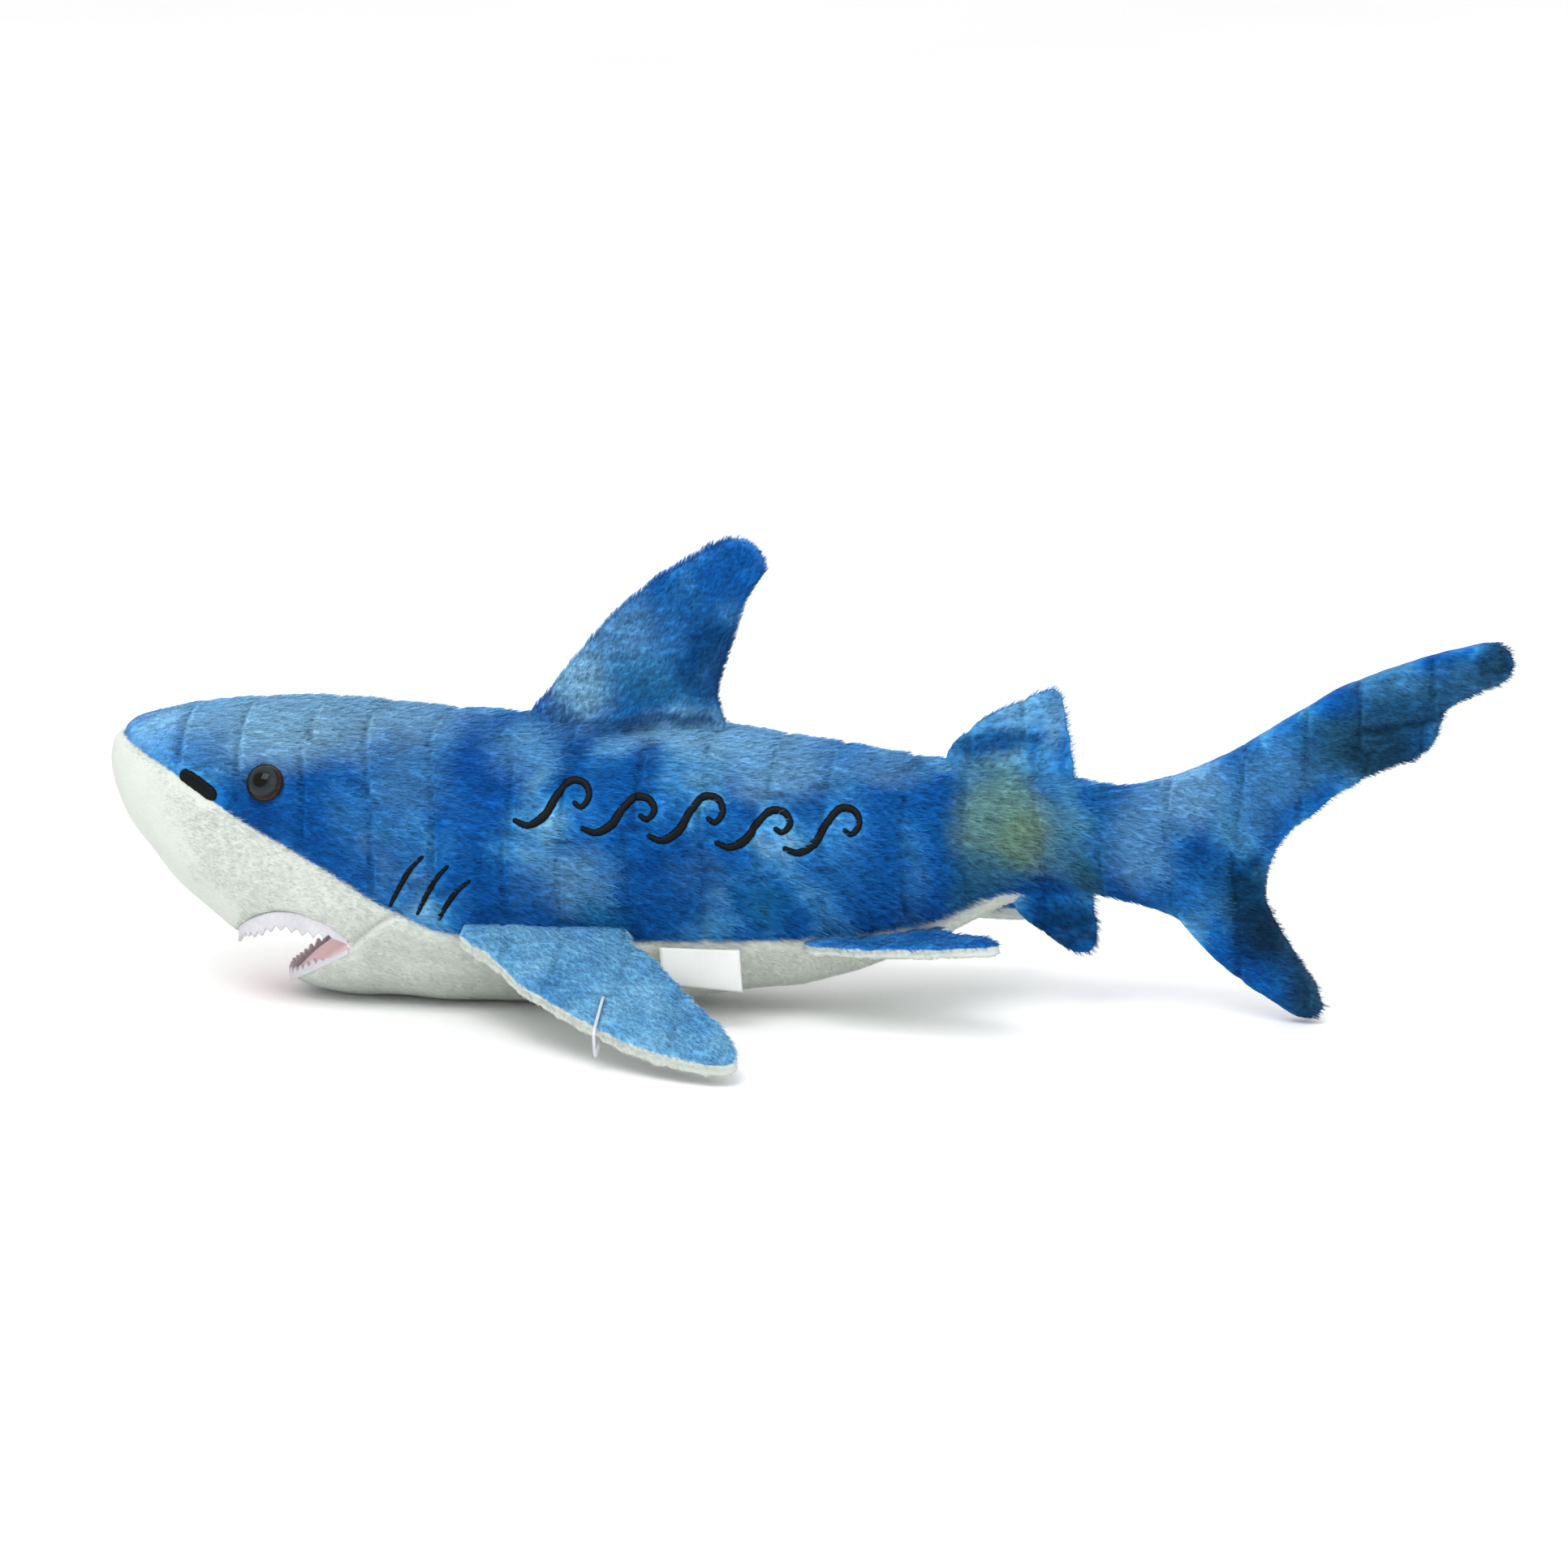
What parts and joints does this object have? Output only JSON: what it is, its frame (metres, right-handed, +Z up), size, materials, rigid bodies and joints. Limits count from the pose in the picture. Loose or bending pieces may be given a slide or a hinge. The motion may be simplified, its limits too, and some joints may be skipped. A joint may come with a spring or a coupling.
{
  "type": "plush shark",
  "caption": "Stuffed plush shark lying on its belly, with an open lower jaw, felt teeth, domed eyes, sewn fins that flap and a tail that sways.",
  "frame": {"origin": "on the surface that the toy lies on, under the middle of its length and width", "axes": "+X from nose to tail, +Y towards the toy's right side, +Z up"},
  "size_m": [0.443, 0.2192, 0.1498],
  "materials": {
    "blue_plush": "short brushed plush pile, tie-dyed in blues, cyan and a little olive",
    "white_plush": "short white plush pile",
    "filling": "loose polyester fibre",
    "pink_felt": "dull pink felt",
    "white_felt": "white felt with cut points",
    "black_thread": "black satin stitching",
    "white_ribbon": "smooth woven ribbon",
    "eye_plastic": "polished dome over a dark iris with a brown rim",
    "eye_back_plastic": "plain moulded plastic",
    "clear_nylon": "thin clear nylon"
  },
  "bodies": {
    "torso": {"left_side_panel": "blue_plush", "right_side_panel": "blue_plush", "snout_panel": "white_plush", "belly_panel": "white_plush", "body_stuffing": "filling", "mouth_roof_lining": "pink_felt", "upper_teeth": "white_felt", "left_eye_dome": "eye_plastic", "left_eye_shank": "eye_back_plastic", "left_eye_washer": "eye_back_plastic", "left_nostril_stitching": "black_thread", "left_gill_stitching": "black_thread", "right_eye_dome": "eye_plastic", "right_eye_shank": "eye_back_plastic", "right_eye_washer": "eye_back_plastic", "right_nostril_stitching": "black_thread", "right_gill_stitching": "black_thread", "wave_stitching": "black_thread"},
    "jaw": {"jaw_panel": "white_plush", "jaw_lining": "pink_felt", "jaw_stuffing": "filling", "lower_teeth": "white_felt"},
    "dorsal_fin": {"dorsal_fin_left_panel": "blue_plush", "dorsal_fin_right_panel": "blue_plush", "dorsal_fin_stuffing": "filling"},
    "second_dorsal_fin": {"second_dorsal_left_panel": "blue_plush", "second_dorsal_right_panel": "blue_plush"},
    "anal_fin": {"anal_fin_left_panel": "blue_plush", "anal_fin_right_panel": "blue_plush"},
    "tail": {"tail_left_panel": "blue_plush", "tail_right_panel": "blue_plush", "tail_stuffing": "filling"},
    "upper_lobe": {"upper_lobe_left_panel": "blue_plush", "upper_lobe_right_panel": "blue_plush", "upper_lobe_stuffing": "filling"},
    "lower_lobe": {"lower_lobe_left_panel": "blue_plush", "lower_lobe_right_panel": "blue_plush", "lower_lobe_stuffing": "filling"},
    "care_label": {"care_label": "white_ribbon"},
    "left_pectoral_fin": {"left_pectoral_top_panel": "blue_plush", "left_pectoral_bottom_panel": "white_plush", "left_pectoral_stuffing": "filling", "tag_pin": "clear_nylon"},
    "left_pelvic_fin": {"left_pelvic_top_panel": "blue_plush", "left_pelvic_bottom_panel": "white_plush", "left_pelvic_stuffing": "filling"},
    "right_pectoral_fin": {"right_pectoral_top_panel": "blue_plush", "right_pectoral_bottom_panel": "white_plush", "right_pectoral_stuffing": "filling"},
    "right_pelvic_fin": {"right_pelvic_top_panel": "blue_plush", "right_pelvic_bottom_panel": "white_plush", "right_pelvic_stuffing": "filling"}
  },
  "joints": [
    {"name": "jaw_close", "type": "hinge", "parent": "torso", "child": "jaw", "pos_m": [-0.139, 0, 0.022], "axis": [0, 1, 0], "range_deg": [-5, 18], "stiffness_Nm_per_rad": 0.05},
    {"name": "dorsal_fin_fold", "type": "hinge", "parent": "torso", "child": "dorsal_fin", "pos_m": [-0.055, 0, 0.099], "axis": [1, 0, 0], "range_deg": [-45, 45], "stiffness_Nm_per_rad": 0.04},
    {"name": "second_dorsal_fold", "type": "hinge", "parent": "torso", "child": "second_dorsal_fin", "pos_m": [0.0635, 0, 0.0819], "axis": [0.9931, 0, -0.1171], "range_deg": [-60, 60], "stiffness_Nm_per_rad": 0.01},
    {"name": "anal_fin_fold", "type": "hinge", "parent": "torso", "child": "anal_fin", "pos_m": [0.077, 0, 0.0327], "axis": [0.995, 0, 0.0995], "range_deg": [-60, 60], "stiffness_Nm_per_rad": 0.01},
    {"name": "left_pectoral_flap", "type": "hinge", "parent": "torso", "child": "left_pectoral_fin", "pos_m": [-0.0785, -0.0431, 0.0272], "axis": [-1, 0, 0], "range_deg": [-20, 60], "stiffness_Nm_per_rad": 0.05},
    {"name": "right_pectoral_flap", "type": "hinge", "parent": "torso", "child": "right_pectoral_fin", "pos_m": [-0.0785, 0.0431, 0.0272], "axis": [1, 0, 0], "range_deg": [-20, 60], "stiffness_Nm_per_rad": 0.05},
    {"name": "left_pelvic_flap", "type": "hinge", "parent": "torso", "child": "left_pelvic_fin", "pos_m": [0.025, -0.026, 0.02675], "axis": [-0.9472, -0.3157, -0.0564], "range_deg": [-20, 32], "stiffness_Nm_per_rad": 0.02},
    {"name": "right_pelvic_flap", "type": "hinge", "parent": "torso", "child": "right_pelvic_fin", "pos_m": [0.025, 0.026, 0.02675], "axis": [0.9472, -0.3157, 0.0564], "range_deg": [-20, 50], "stiffness_Nm_per_rad": 0.02},
    {"name": "tail_sway", "type": "hinge", "parent": "torso", "child": "tail", "pos_m": [0.1, 0, 0.055], "axis": [0, 0, 1], "range_deg": [-25, 25], "stiffness_Nm_per_rad": 0.15},
    {"name": "upper_lobe_bend", "type": "hinge", "parent": "tail", "child": "upper_lobe", "pos_m": [0.158, 0, 0.083], "axis": [-0.5, 0, 0.866], "range_deg": [-28, 28], "stiffness_Nm_per_rad": 0.05},
    {"name": "lower_lobe_bend", "type": "hinge", "parent": "tail", "child": "lower_lobe", "pos_m": [0.145, 0, 0.025], "axis": [0.848, 0, 0.5299], "range_deg": [-28, 28], "stiffness_Nm_per_rad": 0.03},
    {"name": "care_label_swing", "type": "hinge", "parent": "torso", "child": "care_label", "pos_m": [-0.0275, -0.0359, 0.0255], "axis": [-1, 0, 0], "range_deg": [0, 40]}
  ]
}
